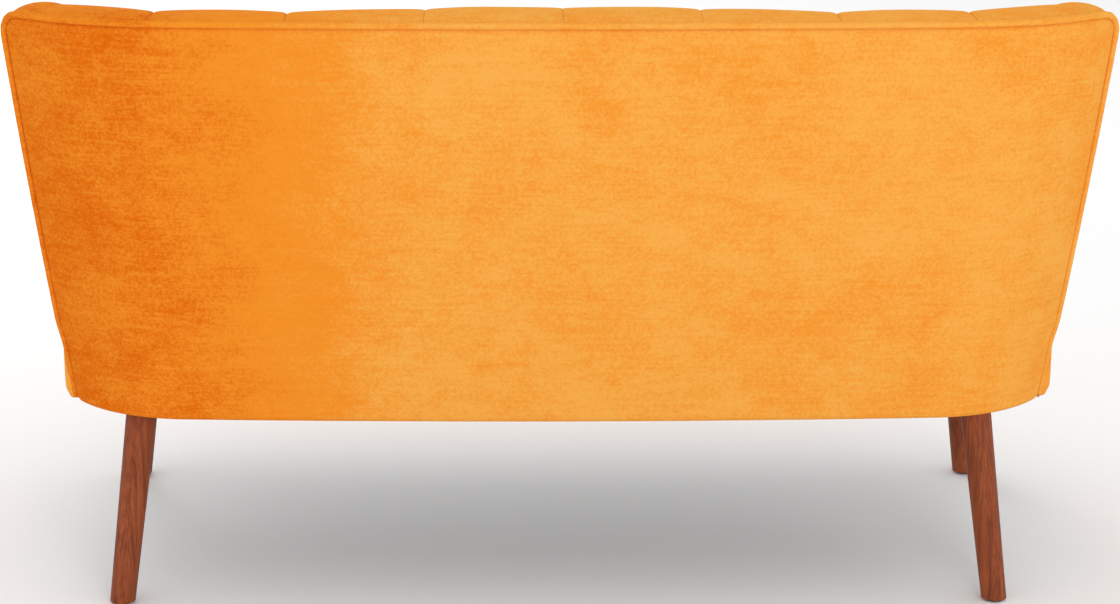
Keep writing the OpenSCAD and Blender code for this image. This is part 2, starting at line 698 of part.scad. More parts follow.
// The same plan's inner side, over the wing panel
function roll_inner(v) = let(
        s_seam = seam_u(4) * half_length(v) + seam_gap,
        s_panel = wing_u1 * half_length(v) + 2)
    concat([for (k = steps(0, 1, 7)) at_s(mix(s_seam, s_panel, k), v, wing_t + 1)],
        [for (k = steps(0, 1, 6)) at_s(s_panel, v, mix(wing_t, frame_in + 1, k))]);
// Above the top rail the roll is solid right back to the piping
function roll_rear(v) = let(s_seam = seam_u(4) * half_length(v) + seam_gap)
    [for (k = steps(0, 1, 14)) at_s(mix(s_seam, half_length(v) - roll_end, k), v, frame_in + 2 * skin_gap)];

module wing_roll(right) {
    low = v_at(box_top + 3);
    over_rail = top_rail_v1 + 1 / shell_h;
    dome_z = piping_z - 5;
    dome_v = v_at(dome_z);
    mid = at_s(half_length(1) + (nose - wing_roll_w) / 2, dome_v, 0.5 * back_t_top);
    function domed(row, a) = [for (p = row) [mix(mid[0], p[0], cos(a)), mix(mid[1], p[1], cos(a)),
        mix(dome_z, piping_z + crown_rise - crown_fall, sin(a))]];
    lower = steps(low, over_rail, 8);
    domes = [0, 20, 40, 60, 78];
    color(VELVET) mirror_x(right) slab(
        concat([for (v = lower) roll_inner(v)], [roll_rear(over_rail + 0.001)],
            [for (a = domes) domed(roll_rear(dome_v), a)]),
        concat([for (v = lower) roll_outer(v)], [roll_outer(over_rail + 0.001)],
            [for (a = domes) domed(roll_outer(dome_v), a)]));
}

module back_foam() {
    foam_u = wing_u0 - 3 / half_length(0);
    color(FOAM) shell_block(-foam_u, foam_u, v_at(box_top + 3), top_rail_v1, foam_in, foam_in + back_foam_t, 40, 3);
}

// A closed ring round the seat pad at height z, grown outwards by g and kept clear of the back by c
pad_clear = 2;
function pad_ring(z, g, c) = let(
        v = v_at(z),
        rear = [for (u = steps(0, seam_u(4), 8)) let(p = at_u(u, v, back_t(v) + c)) [p[0], p[1], z]],
        round = [for (a = [88, 60, 25, -10]) let(p = nose_point(a, v, c))
            [min(p[0], side_point(p[1], g)[0] - 0.5), p[1], z]],
        side = side_point(round[3][1] - 9, g),
        half = concat(rear, round, [[side[0], side[1], z]],
            [for (p = corner_arc(g, 8)) [p[0], p[1], z]]))
    concat(half, [for (i = [len(half) - 1:-1:1]) [-half[i][0], half[i][1], z]]);

function shrunk(ring, k, z) = let(c = [0, (box_front + rear_rail_back) / 2])
    [for (p = ring) [p[0] * k, c[1] + (p[1] - c[1]) * k, z]];

// The seat pad's surface from its lower edge, round the groove for the upper piping and over the crown, inset by d
groove = piping_r + 1.7;
function pad_rings(d, c) = let(top = seat_z - 1 - d, g = pad_overhang - d, crown = pad_crown + 1)
    concat(
        [for (q = [[box_top + 0.5, -piping_r - 1 - d], [box_top + 5.5, -1 - d],
                [box_top + 0.35 * pad_h, g], [seat_z - 6 - 0.6 * d, g],
                [seat_z - 5 - d, g - groove], [top, g - groove - 0.8]])
            pad_ring(q[0], q[1], c)],
        [for (q = [[3, 0.14], [10, 0.34], [25, 0.6], [55, 0.85]])
            [for (p = pad_ring(top, g - groove - 0.8 - q[0], c + q[0])) [p[0], p[1], top + crown * q[1]]]],
        [for (q = [[0.6, 0.97], [0.2, 1]])
            shrunk(pad_ring(top, g - groove - 55.8, c + 55), q[0], top + crown * q[1])]);

pad_cover_t = 3;
foam_gap = 3.2;                      // clearance between the foam and its cover

module seat_foam() {
    color(FOAM) stack(pad_rings(pad_cover_t + foam_gap, pad_clear + pad_cover_t + foam_gap));
}

module seat_cover() {
    inner = pad_rings(pad_cover_t, pad_clear + pad_cover_t);
    outer = pad_rings(0, pad_clear);
    color(VELVET) stack(concat([for (i = [len(inner) - 1:-1:0]) inner[i]], outer));
}

// A path round the box's sides and front, from the left wing to the right one
function box_path(g, z, rear) = let(
        half = concat([for (k = steps(0, 1, 8)) side_point(mix(rear, corner_y + (front_r + g) * sin(flare), k), g)],
            [for (i = [1:9]) corner_arc(g, 9)[i]], [[corner_x / 2, box_front - g]]))
    [for (p = concat(half, [[0, box_front - g]], mirrored(half))) [p[0], p[1], z]];

module seat_border() {
    zs = [base_z + 0.2, base_z + 12, base_z + box_h / 2, box_top - 12, box_top - piping_r];
    swells = [-border_tuck, -1, 1.5, 0, -1];
    function sheet(g) = [for (k = [0:4]) box_path(g + swells[k], zs[k], border_rear_y(zs[k]))];
    color(VELVET) slab(sheet(0), sheet(-border_t));
}

module seat_piping_lower() {
    color(VELVET) cord(box_path(-0.5, box_top, border_rear_y(box_top)), seat_cord_r);
}

module seat_piping_upper() {
    z = seat_z - 1;
    path = pad_ring(z, upper_cord_out, pad_clear);
    n = len(path);
    from_wing = 13;                 // the first point of the ring past the wing
    round_front = [for (i = [from_wing:n - from_wing]) path[i]];
    color(VELVET) cord(round_front, seat_cord_r);
}

module back_piping() {
    n = 30;
    side = [for (v = concat(steps(0.004, v_at(box_top + 16), 6), steps(v_at(box_top + 50), top_v(1), 7)))
        at_u(1, v, -piping_out)];
    top_s = half_length(1) - corner_r;
    arc = [for (a = [15:15:75]) let(z = piping_z - corner_r * (1 - sin(a)))
        at_u((top_s + corner_r * cos(a)) / half_length(1), v_at(z), -piping_out)];
    top = [for (s = steps(top_s, 0, n / 2)) at_s(s, 1, -piping_out)];
    half = concat(side, arc, top);
    path = concat(half, [for (i = [len(half) - 2:-1:0]) [-half[i][0], half[i][1], half[i][2]]]);
    color(VELVET) cord(path, piping_r, up = [0, 0.94, 0.34]);
}

// ---- underside ----

module dust_cover() {
    bolt_hole_d = bolt_d + 4;
    outline = concat([for (s = steps(0, half_length(0) - 8, 16)) let(p = at_s(s, 0, 4)) [p[0], p[1]]],
        corner_arc(-border_t - border_tuck - 1, 8));
    color(BLACK) difference() {
        translate([0, 0, base_z]) linear_extrude(0.9)
            polygon(concat(outline, [for (i = [len(outline) - 1:-1:1]) [-outline[i][0], outline[i][1]]]));
        for (front = [true, false]) for (right = [true, false]) mirror_x(right)
            translate([leg_x(front), leg_y(front), base_z - 1]) cylinder(d = bolt_hole_d, h = 3, $fn = 32);
    }
}

// ---- nodes ----

seat_front_rail();
seat_rear_rail();
seat_side_rail(false);  // seat_side_rail_left
seat_side_rail(true);  // seat_side_rail_right
seat_centre_brace();
front_corner_formers();
rear_corner_formers();
leg_block_front(false);  // leg_block_front_left
leg_block_front(true);  // leg_block_front_right
leg_block_rear(false);  // leg_block_rear_left
leg_block_rear(true);  // leg_block_rear_right
for (i = [0:3]) back_post(i);
wing_panel(false);  // wing_panel_left
wing_panel(true);  // wing_panel_right
back_top_rail();
back_lumbar_rails();
back_board();
frame_screws();
back_bolts();
back_bolt_washers();
seat_springs();
spring_clips();
spring_tie_wires();
spring_felt();
back_webbing();
seat_foam();
back_foam();
seat_cover();
seat_border();
seat_piping_upper();
seat_piping_lower();
wing_roll(false);  // wing_roll_left
wing_roll(true);  // wing_roll_right
outside_back_cover();
back_piping();
dust_cover();
leg(true, false);  // leg_front_left
leg(true, true);  // leg_front_right
leg(false, false);  // leg_rear_left
leg(false, true);  // leg_rear_right
leg_bolts();
tee_nuts();
leg_glides();
for (i = [0:7]) channel(i < 4 ? 3 - i : i - 4, i >= 4);
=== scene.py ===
import math

import bmesh
import bpy
from mathutils import Matrix, Vector, noise
from mathutils.kdtree import KDTree


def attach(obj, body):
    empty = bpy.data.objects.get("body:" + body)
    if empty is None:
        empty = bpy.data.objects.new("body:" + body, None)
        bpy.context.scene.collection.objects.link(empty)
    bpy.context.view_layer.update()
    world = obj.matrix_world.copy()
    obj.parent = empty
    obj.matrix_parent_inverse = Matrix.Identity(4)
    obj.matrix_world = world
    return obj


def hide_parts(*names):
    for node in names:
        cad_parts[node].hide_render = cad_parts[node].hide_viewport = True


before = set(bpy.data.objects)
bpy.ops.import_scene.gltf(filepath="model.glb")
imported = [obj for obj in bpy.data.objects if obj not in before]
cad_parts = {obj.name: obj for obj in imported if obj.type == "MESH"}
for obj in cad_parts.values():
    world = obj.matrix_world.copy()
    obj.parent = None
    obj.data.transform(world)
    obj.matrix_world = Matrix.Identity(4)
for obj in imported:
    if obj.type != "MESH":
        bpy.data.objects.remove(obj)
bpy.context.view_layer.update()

# ---- sizes, in metres, the same as the CAD's ----

OVERALL_W, OVERALL_D, OVERALL_H = 1.355, 0.712, 0.780
BASE_Z = 0.252                      # underside of the seat box
SHELL_BASE_W = 1.249                # width over the back's pipings at the underside
EDGE_TUCK = 0.0035                  # how far the side edges draw in beside the seat box
SIDE_SWELL = 0.003                  # how far the side edges bow outwards half way up
BACK_LEAN = 0.092                   # how far back the top stands from the underside
BACK_FLAT = 0.470                   # half length of the nearly straight middle
MIDDLE_R = 9.2                      # radius of that middle
END_ANGLE_BASE, END_ANGLE_TOP = math.radians(60), math.radians(44)
CORNER_R = 0.026                    # radius of the outside back's top corners
BACK_T_TOP, BACK_T_SEAT = 0.102, 0.128
CHANNEL_BULGE = 0.024               # how far a channel stands out between its seams
CROWN_RISE = 0.014                  # from the top piping up to the highest crown
ROLL_W, NOSE = 0.036, 0.022         # the wing's front roll, and how far it stands past the side edge
PIPING_R, PIPING_OUT = 0.004, 0.0005
SEAT_CORD_R = 0.0035
BOX_H, PAD_H, PAD_CROWN = 0.095, 0.098, 0.016
PAD_OVERHANG = 0.005                # how far the pad stands past the seat box
SEAT_W, FRONT_R = 1.290, 0.075
FLARE = math.radians(2)             # how much the seat's sides draw in towards its rear
SEAM_GAP = 0.00012                  # half the gap between two channels
FRAME_IN = 0.0065                   # depth at which the timber frame starts, inside the hardboard
VELVET_T = 0.0022

PIPING_Z = OVERALL_H - CROWN_RISE
REAR_Y = OVERALL_D / 2 - PIPING_R - PIPING_OUT
SHELL_H = PIPING_Z - BASE_Z
CORNER_V = 1 - CORNER_R / SHELL_H
MIDDLE_A = BACK_FLAT / MIDDLE_R
MIDDLE_X = MIDDLE_R * math.sin(MIDDLE_A)
MIDDLE_BOW = MIDDLE_R * (1 - math.cos(MIDDLE_A))
BOX_TOP = BASE_Z + BOX_H
SEAT_Z = BOX_TOP + PAD_H
BOX_FRONT = -OVERALL_D / 2 + PAD_OVERHANG - 0.001 + SEAT_CORD_R
CORNER_X, CORNER_Y = SEAT_W / 2 - FRONT_R, BOX_FRONT + FRONT_R


def mix(a, b, t):
    """From a at t = 0 to b at t = 1."""
    return a + (b - a) * t


def clip(t):
    """t kept from 0 to 1."""
    return max(0.0, min(1.0, t))


def fade(t):
    """A smooth step from 0 to 1."""
    t = clip(t)
    return t * t * (3 - 2 * t)


def steps(a, b, n):
    """n + 1 even values from a to b."""
    return [mix(a, b, i / n) for i in range(n + 1)]


def wobble(p, scale, seed=0.0):
    """Smooth noise from -1 to 1, the same every time."""
    return noise.noise(Vector((p[0] * scale + seed, p[1] * scale - seed, p[2] * scale + 0.37 * seed)))


# ---- the back's outer surface ----
# v runs from 0 at the underside to 1 at the top piping, s along the plan curve from the middle, t inwards

def v_at(z):
    return (z - BASE_Z) / SHELL_H


def z_at(v):
    return BASE_Z + v * SHELL_H


def end_x(v):
    """Half the back's width at height v, to the middle of the side piping."""
    w = clip(v / CORNER_V)
    tuck = 1 - fade((v * SHELL_H - BOX_H + 0.022) / 0.036)
    return mix(SHELL_BASE_W, OVERALL_W, min(1, v / CORNER_V)) / 2 - PIPING_R - PIPING_OUT \
        + SIDE_SWELL * 4 * w * (1 - w) - EDGE_TUCK * tuck


def bend(v):
    """The plan curve at height v: the radius of its ends, and its half length."""
    a = mix(END_ANGLE_BASE, END_ANGLE_TOP, v)
    r = (end_x(v) - MIDDLE_X) / (math.sin(a) - math.sin(MIDDLE_A))
    return r, BACK_FLAT + r * (a - MIDDLE_A)


def half_length(v):
    """Half the length of the plan curve at height v."""
    return bend(v)[1]


def at_s(s, v, t, r=None):
    """The point at length s along the plan curve, height v and depth t."""
    r = r or bend(v)[0]
    k, s = (-1 if s < 0 else 1), abs(s)
    if s <= BACK_FLAT:
        a = s / MIDDLE_R
        x, y = MIDDLE_R * math.sin(a), MIDDLE_R * (1 - math.cos(a))
    else:
        a = MIDDLE_A + (s - BACK_FLAT) / r
        x = MIDDLE_X + r * (math.sin(a) - math.sin(MIDDLE_A))
        y = MIDDLE_BOW + r * (math.cos(MIDDLE_A) - math.cos(a))
    rear = REAR_Y - (1 - v) * BACK_LEAN
    return Vector((k * (x - t * math.sin(a)), rear - y - t * math.cos(a), z_at(v)))


def at_u(u, v, t):
    """The same, with u as a share of the half length."""
    r, h = bend(v)
    return at_s(u * h, v, t, r)


def corner_drop(u, m=0.0):
    """How far the top edge, set in by m, falls away round the top corner."""
    h = half_length(1)
    past, r = abs(u) * h - (h - CORNER_R), CORNER_R - m
    return m if past <= 0 else m + r - math.sqrt(max(0, r * r - past * past))


def back_t(v):
    """How thick the back is, channels included."""
    return mix(BACK_T_SEAT, BACK_T_TOP, clip((v - v_at(SEAT_Z)) / (1 - v_at(SEAT_Z))))


# ---- the seat's outline, grown by g ----

def side_point(y, g):
    """A point on the straight side."""
    tx, ty = CORNER_X + (FRONT_R + g) * math.cos(FLARE), CORNER_Y + (FRONT_R + g) * math.sin(FLARE)
    return tx - (y - ty) * math.tan(FLARE), y


def corner_arc(g, n):
    """The front corner's arc, from the side to the front."""
    return [(CORNER_X + (FRONT_R + g) * math.cos(a), CORNER_Y + (FRONT_R + g) * math.sin(a))
            for a in (FLARE - (math.pi / 2 + FLARE) * i / n for i in range(n + 1))]


def edge_y(z):
    """Where the back's side edge stands at height z."""
    return at_u(1, v_at(z), 0).y


# ---- meshes ----

def add_mesh(name, points, faces, material):
    """A new smooth-shaded mesh object."""
    mesh = bpy.data.meshes.new(name)
    mesh.from_pydata([tuple(p) for p in points], [], faces)
    mesh.validate()
    mesh.update()
    mesh.polygons.foreach_set("use_smooth", [True] * len(mesh.polygons))
    piece = bpy.data.objects.new(name, mesh)
    bpy.context.scene.collection.objects.link(piece)
    mesh.materials.append(material)
    return piece


def grid_faces(n, m, start=0, flip=False, wrap=False):
    """Quads over n rows of m points; wrap joins each row's end to its start."""
    out = []
    for i in range(n - 1):
        for j in range(m if wrap else m - 1):
            k = (j + 1) % m
            q = (start + i * m + j, start + (i + 1) * m + j, start + (i + 1) * m + k, start + i * m + k)
            out.append(q[::-1] if flip else q)
    return out


def sheet_form(name, rows, material, thickness):
    """A thin skin from a grid of points, thickened on its inner side."""
    n, m = len(rows), len(rows[0])
    piece = add_mesh(name, [p for row in rows for p in row], grid_faces(n, m), material)
    solid = piece.modifiers.new("thickness", "SOLIDIFY")
    solid.thickness, solid.offset = thickness, -1
    apply(piece)
    return piece


def padded_form(name, outer, inner, material, sharp=50):
    """A closed form between two grids of points of the same size."""
    n, m = len(outer), len(outer[0])
    o = n * m
    faces = grid_faces(n, m) + grid_faces(n, m, o, flip=True)
    for j in range(m - 1):
        faces += [(j, j + 1, o + j + 1, o + j),
                  ((n - 1) * m + j, o + (n - 1) * m + j, o + (n - 1) * m + j + 1, (n - 1) * m + j + 1)]
    for i in range(n - 1):
        a, b = i * m, i * m + m - 1
        faces += [(a, o + a, o + a + m, a + m), (b, b + m, o + b + m, o + b)]
    piece = add_mesh(name, [p for g in (outer, inner) for row in g for p in row], faces, material)
    outward(piece)
    piece.data.set_sharp_from_angle(angle=math.radians(sharp))
    return piece


def outward(piece):
    """Turns every face outwards."""
    b = bmesh.new()
    b.from_mesh(piece.data)
    bmesh.ops.recalc_face_normals(b, faces=b.faces)
    b.to_mesh(piece.data)
    b.free()


def apply(piece):
    """Makes the piece's modifiers part of its mesh."""
    graph = bpy.context.evaluated_depsgraph_get()
    mesh = bpy.data.meshes.new_from_object(piece.evaluated_get(graph))
    piece.modifiers.clear()
    old = piece.data
    piece.data = mesh
    mesh.name = piece.name
    bpy.data.meshes.remove(old)


def resample(path, gap):
    """The same path with points evenly spaced, rounded where it turns."""
    total = sum((b - a).length for a, b in zip(path, path[1:]))
    n = max(8, round(total / gap))
    out, k, gone = [], 0, 0.0
    for i in range(n + 1):
        want = total * i / n
        while k < len(path) - 2 and gone + (path[k + 1] - path[k]).length < want:
            gone += (path[k + 1] - path[k]).length
            k += 1
        leg = (path[k + 1] - path[k]).length
        out.append(path[k].lerp(path[k + 1], clip((want - gone) / leg)))
    for _ in range(2):
        out = [out[0]] + [(a + b * 2 + c) / 4 for a, b, c in zip(out, out[1:], out[2:])] + [out[-1]]
    return out


CORD_SIDES, CORD_UNEVEN, CORD_CREASE = 20, 0.00018, 0.0003


def tube(name, path, radius, material):
    """Fabric-covered cord: round, with slightly uneven thickness and small cross creases where it turns."""
    points, n = [], len(path)
    up = Vector((0.31, 0.11, 0.94))
    for i, p in enumerate(path):
        t = (path[min(i + 1, n - 1)] - path[max(i - 1, 0)]).normalized()
        a = up.cross(t).normalized()
        up = t.cross(a)
        back = (path[max(i - 4, 0)] - p).normalized()
        ahead = (path[min(i + 4, n - 1)] - p).normalized()
        turn = clip((1 + back.dot(ahead)) * 6) if 4 <= i < n - 4 else 0
        for k in range(CORD_SIDES):
            w = 2 * math.pi * k / CORD_SIDES
            out = a * math.cos(w) + up * math.sin(w)
            grow = CORD_UNEVEN * wobble(p + out * 0.01, 55)
            grow += turn * CORD_CREASE * math.sin(i * 1.9 + 1.3 * math.cos(w))
            points.append(p + out * (radius + grow))
    faces = grid_faces(n, CORD_SIDES, flip=True, wrap=True)
    faces += [tuple(range(CORD_SIDES)), tuple(range((n - 1) * CORD_SIDES, n * CORD_SIDES))[::-1]]
    piece = add_mesh(name, points, faces, material)
    outward(piece)
    return piece


VOXEL = 0.0075                      # spacing of the even mesh a cushion is given for its cloth simulation
CLOTH_FRAMES = 20


def settle(piece, pressure, cap, hold):
    """Fills a padded form with a short cloth simulation: an even mesh, air pressure and no gravity.
    hold(point) is 1 where it is sewn down, and no point moves further than cap."""
    even = piece.modifiers.new("even", "REMESH")
    even.mode, even.voxel_size = "VOXEL", VOXEL
    apply(piece)
    rest = [v.co.copy() for v in piece.data.vertices]
    group = piece.vertex_groups.new(name="sewn")
    for i, p in enumerate(rest):
        group.add([i], hold(p), "REPLACE")
    cloth = piece.modifiers.new("fill", "CLOTH")
    s = cloth.settings
    s.quality, s.mass = 4, 0.25
    s.tension_stiffness = s.compression_stiffness = 20
    s.shear_stiffness, s.bending_stiffness = 8, 0.6
    s.use_pressure, s.uniform_pressure_force = True, pressure
    s.vertex_group_mass = "sewn"
    s.effector_weights.gravity = 0
    cloth.collision_settings.use_collision = False
    cloth.point_cache.frame_end = CLOTH_FRAMES
    for f in range(1, CLOTH_FRAMES + 1):
        bpy.context.scene.frame_set(f)
    graph = bpy.context.evaluated_depsgraph_get()
    moved = [v.co.copy() for v in piece.evaluated_get(graph).data.vertices]
    piece.modifiers.clear()
    piece.vertex_groups.clear()
    for v, a, b in zip(piece.data.vertices, rest, moved):
        d = b - a
        v.co = a + d * (min(1, cap / d.length) if d.length > 1e-9 else 1)
    bpy.context.scene.frame_set(1)
    sub = piece.modifiers.new("smooth", "SUBSURF")
    sub.levels = sub.render_levels = 1
    apply(piece)
    piece.data.polygons.foreach_set("use_smooth", [True] * len(piece.data.polygons))


def done(piece, slot, *nodes):
    """Fixes a piece to the sofa's one body and hides the CAD nodes it stands for. slot is not used."""
    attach(piece, "root")
    if nodes:
        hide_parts(*nodes)
    return piece


# ---- materials ----

class Nodes:
    """Short names for the nodes of one material."""

    def __init__(self, name):
        self.m = bpy.data.materials.new(name)
        self.m.use_nodes = True
        self.t = self.m.node_tree
        self.bsdf = next(n for n in self.t.nodes if n.type == "BSDF_PRINCIPLED")
        self.xyz = self.t.nodes.new("ShaderNodeTexCoord").outputs["Object"]

    def put(self, socket, value):
        """Links a socket to another, or sets its value."""
        if isinstance(value, bpy.types.NodeSocket):
            self.t.links.new(value, socket)
        else:
            socket.default_value = value

    def scaled(self, scale):
        """Object coordinates, scaled on each axis."""
        n = self.t.nodes.new("ShaderNodeMapping")
        n.inputs["Scale"].default_value = scale
        self.put(n.inputs["Vector"], self.xyz)
        return n.outputs[0]

    def noise(self, scale, detail=2.0, rough=0.5, vector=None, warp=0.0):
        n = self.t.nodes.new("ShaderNodeTexNoise")
        n.inputs["Scale"].default_value = scale
        n.inputs["Detail"].default_value = detail
        n.inputs["Roughness"].default_value = rough
        n.inputs["Distortion"].default_value = warp
        self.put(n.inputs["Vector"], vector or self.xyz)
        return n.outputs["Fac"]

    def ramp(self, value, low, high, a=0.0, b=1.0):
        """A smooth change from a at low to b at high."""
        n = self.t.nodes.new("ShaderNodeMapRange")
        n.interpolation_type = "SMOOTHSTEP"
        for name, x in (("From Min", low), ("From Max", high), ("To Min", a), ("To Max", b)):
            n.inputs[name].default_value = x
        self.put(n.inputs["Value"], value)
        return n.outputs["Result"]

    def math(self, what, a, b=0.0, clamp=False):
        n = self.t.nodes.new("ShaderNodeMath")
        n.operation, n.use_clamp = what, clamp
        self.put(n.inputs[0], a)
        self.put(n.inputs[1], b)
        return n.outputs[0]

    def blend(self, fac, a, b):
        n = self.t.nodes.new("ShaderNodeMix")
        n.data_type = "RGBA"
        self.put(n.inputs["Factor"], fac)
        colour = [s for s in n.inputs if s.type == "RGBA"]
        for socket, value in zip(colour, (a, b)):
            self.put(socket, value if isinstance(value, bpy.types.NodeSocket) else (*value, 1.0))
        return next(s for s in n.outputs if s.type == "RGBA")

    def bump(self, height, distance, strength, normal=None):
        n = self.t.nodes.new("ShaderNodeBump")
        n.inputs["Strength"].default_value = strength
        n.inputs["Distance"].default_value = distance
        self.put(n.inputs["Height"], height)
        if normal:
            self.put(n.inputs["Normal"], normal)
        return n.outputs[0]

    def surface(self, **values):
        """Sets or links the shader's own sockets."""
        for name, value in values.items():
            self.put(self.bsdf.inputs[name.replace("_", " ")], value)
        return self.m


# the velvet with its pile leaning away, at rest and towards the light; the deep tone is also the painted
# shade laid towards the sofa's +X end
VELVET_DEEP_AND_SHADE = (0.69, 0.118, 0.002)
VELVET_MAIN = (0.825, 0.264, 0.020)
VELVET_PALE = (0.850, 0.392, 0.070)


def velvet(name, worn=0.0, shade_sweep=0.0, above=0.0):
    """Cotton velvet: short pile that catches light at its edges, brushed in cloudy marks over a woven ground.
    The argument after worn is painted shade: it deepens the colour towards the sofa's +X end, where less
    light falls; above a height that is set, it does so only on the crowns."""
    n = Nodes(name)
    drift = n.noise(5.5, 3, 0.55, warp=0.4)
    cloud = n.noise(15, 6, 0.66, n.scaled((0.85, 1, 1.1)), warp=0.5)
    mark = n.noise(38, 5, 0.7, n.scaled((0.8, 1, 1.25)), warp=0.9)
    weft = n.noise(1, 3, 0.6, n.scaled((16, 16, 320)))
    pile = n.noise(1100, 2, 0.6)
    tuft = n.noise(260, 3, 0.6)
    nap_and_shade = n.math("ADD", n.ramp(drift, 0.36, 0.64, -0.045, 0.045), n.ramp(cloud, 0.34, 0.66, -0.05, 0.05))
    nap_and_shade = n.math("ADD", nap_and_shade, n.ramp(mark, 0.30, 0.70, -0.05, 0.05))
    nap_and_shade = n.math("ADD", nap_and_shade, n.ramp(weft, 0.3, 0.7, -0.045, 0.045))
    nap_and_shade = n.math("ADD", nap_and_shade, n.ramp(tuft, 0.3, 0.7, -0.09, 0.09))
    # painted shade: from X = 0.12 to 0.60 the colour deepens towards the deep tone, only on the crowns when a
    # height is given
    if shade_sweep:
        x = n.t.nodes.new("ShaderNodeSeparateXYZ")
        n.put(x.inputs[0], n.xyz)
        painted_shade = n.ramp(x.outputs["X"], 0.12, 0.60, 0, -shade_sweep)
        if above:
            painted_shade = n.math("MULTIPLY", painted_shade, n.ramp(x.outputs["Z"], above - 0.02, above + 0.005))
        nap_and_shade = n.math("ADD", nap_and_shade, painted_shade)
    nap_and_shade = n.math("ADD", nap_and_shade, 0.78 + worn, clamp=True)
    low = n.blend(n.ramp(nap_and_shade, 0.05, 0.5), VELVET_DEEP_AND_SHADE, VELVET_MAIN)
    colour = n.blend(n.ramp(nap_and_shade, 0.5, 0.95), low, VELVET_PALE)
    height = n.math("ADD", n.math("MULTIPLY", pile, 0.5), n.math("MULTIPLY", tuft, 0.5))
    normal = n.bump(height, 0.0005, 0.55, n.bump(cloud, 0.004, 0.12))
    return n.surface(Base_Color=colour, Roughness=n.ramp(nap_and_shade, 0, 1, 0.95, 0.78), Normal=normal,
                     Sheen_Weight=0.08, Sheen_Roughness=0.45, Sheen_Tint=(1.0, 0.50, 0.08, 1.0),
                     IOR=1.15, Specular_IOR_Level=0.10)


def walnut_stain():
    """Turned beech stained to a red-brown walnut: fine grain along the leg, dark pores, satin lacquer."""
    n = Nodes("walnut_stain")
    grain = n.noise(1, 6, 0.62, n.scaled((130, 130, 4.5)), warp=0.6)
    fine = n.noise(1, 4, 0.7, n.scaled((620, 620, 14)))
    pores = n.noise(1, 2, 0.5, n.scaled((900, 900, 45)))
    blotch = n.noise(11, 3, 0.5)
    tone = n.math("ADD", n.math("MULTIPLY", grain, 0.6), n.math("MULTIPLY", fine, 0.4))
    body = n.blend(n.ramp(tone, 0.36, 0.64), (0.135, 0.026, 0.007), (0.37, 0.086, 0.024))
    body = n.blend(n.ramp(blotch, 0.35, 0.7, 0, 0.35), body, (0.20, 0.042, 0.012))
    colour = n.blend(n.ramp(pores, 0.60, 0.72, 0, 0.65), body, (0.060, 0.016, 0.008))
    height = n.math("SUBTRACT", fine, n.ramp(pores, 0.6, 0.72))
    return n.surface(Base_Color=colour, Roughness=n.ramp(fine, 0.3, 0.7, 0.50, 0.66),
                     Normal=n.bump(height, 0.0003, 0.4), Coat_Weight=0.05, Coat_Roughness=0.35,
                     Specular_IOR_Level=0.20)


def raw_wood(name, light, dark, along):
    """Sawn, unfinished timber with its grain along one axis."""
    n = Nodes(name)
    scale = tuple(6 if i == along else 90 for i in range(3))
    grain = n.noise(1, 5, 0.6, n.scaled(scale), warp=1.0)
    saw = n.noise(1, 2, 0.5, n.scaled(tuple(420 if i == along else 9 for i in range(3))))
    fleck = n.noise(1, 2, 0.5, n.scaled(tuple(60 if i == along else 700 for i in range(3))))
    tone = n.math("ADD", n.ramp(grain, 0.35, 0.65, 0, 0.8), n.ramp(fleck, 0.55, 0.75, 0, 0.2))
    return n.surface(Base_Color=n.blend(tone, light, dark), Roughness=n.ramp(grain, 0.3, 0.7, 0.62, 0.8),
                     Normal=n.bump(n.math("ADD", saw, fleck), 0.0004, 0.35))


def plywood():
    """Plywood: thin plies of turned grain."""
    n = Nodes("plywood")
    plies = n.noise(1, 1, 0.5, n.scaled((3, 3, 520)))
    grain = n.noise(1, 5, 0.6, n.scaled((14, 14, 120)), warp=0.8)
    tone = n.math("ADD", n.ramp(plies, 0.45, 0.55, 0, 0.45), n.ramp(grain, 0.35, 0.65, 0, 0.55))
    return n.surface(Base_Color=n.blend(tone, (0.60, 0.42, 0.24), (0.40, 0.25, 0.13)),
                     Roughness=n.ramp(grain, 0.3, 0.7, 0.6, 0.78), Normal=n.bump(grain, 0.0004, 0.3))


def hardboard():
    """Hardboard: pressed brown fibre with darker specks."""
    n = Nodes("hardboard")
    fibre = n.noise(240, 5, 0.7)
    fleck = n.noise(90, 3, 0.6, n.scaled((1, 1, 2.5)))
    tone = n.math("ADD", n.ramp(fibre, 0.35, 0.65, 0, 0.6), n.ramp(fleck, 0.5, 0.7, 0, 0.4))
    return n.surface(Base_Color=n.blend(tone, (0.20, 0.115, 0.060), (0.10, 0.052, 0.026)),
                     Roughness=n.ramp(fibre, 0.3, 0.7, 0.7, 0.85), Normal=n.bump(fibre, 0.0003, 0.4))


def metal(name, light, dark, rough):
    """Plated or drawn steel with fine drawing marks and dulled patches."""
    n = Nodes(name)
    drawn = n.noise(1, 3, 0.6, n.scaled((300, 300, 12)))
    dull = n.noise(60, 4, 0.6)
    tone = n.math("ADD", n.ramp(drawn, 0.3, 0.7, 0, 0.5), n.ramp(dull, 0.4, 0.7, 0, 0.5))
    return n.surface(Base_Color=n.blend(tone, light, dark), Metallic=0.92,
                     Roughness=n.ramp(dull, 0.3, 0.7, rough, rough + 0.2), Normal=n.bump(drawn, 0.0001, 0.25))


def soft_stuff(name, light, dark, scale, depth, stretch=(1, 1, 1)):
    """Foam, felt, webbing or lining: matt, with cells or fibres of its own size."""
    n = Nodes(name)
    cell = n.noise(scale, 4, 0.65, n.scaled(stretch))
    patch = n.noise(7, 3, 0.5)
    tone = n.math("ADD", n.ramp(cell, 0.3, 0.7, 0, 0.65), n.ramp(patch, 0.35, 0.65, 0, 0.35))
    return n.surface(Base_Color=n.blend(tone, light, dark), Roughness=n.ramp(cell, 0.3, 0.7, 0.84, 0.97),
                     Normal=n.bump(cell, depth, 0.5), Sheen_Weight=0.12, Sheen_Roughness=0.5)


